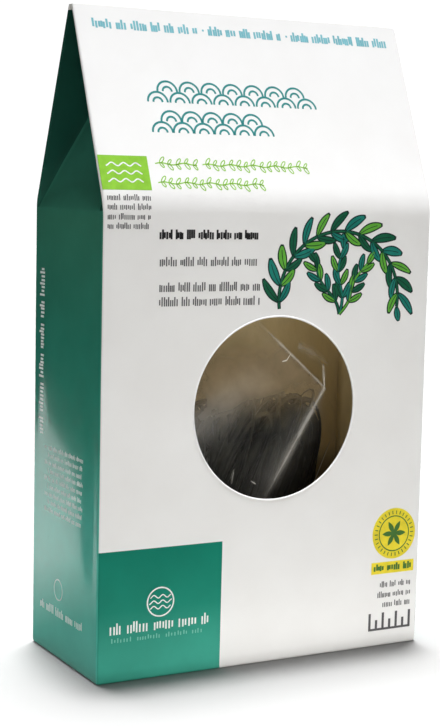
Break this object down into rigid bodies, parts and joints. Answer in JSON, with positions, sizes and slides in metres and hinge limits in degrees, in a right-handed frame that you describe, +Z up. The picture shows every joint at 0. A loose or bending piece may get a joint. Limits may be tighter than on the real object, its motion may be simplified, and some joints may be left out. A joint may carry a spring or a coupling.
{
  "type": "window carton of dried sea spaghetti",
  "caption": "Tent-top folding carton with a round window, holding dried seaweed strands in a clear film pouch.",
  "frame": {"origin": "middle of the base, on the surface that the carton stands on", "axes": "+Z up to the ridge, +X along the front to the right as the window is seen, +Y from the front to the back"},
  "size_m": [0.11, 0.049, 0.192],
  "materials": {
    "white_board": "satin",
    "clear_film": "gloss",
    "dried_seaweed": "satin"
  },
  "bodies": {
    "root": {"carton": "white_board", "film_pouch": "clear_film", "seaweed_strands": "dried_seaweed"}
  },
  "joints": []
}
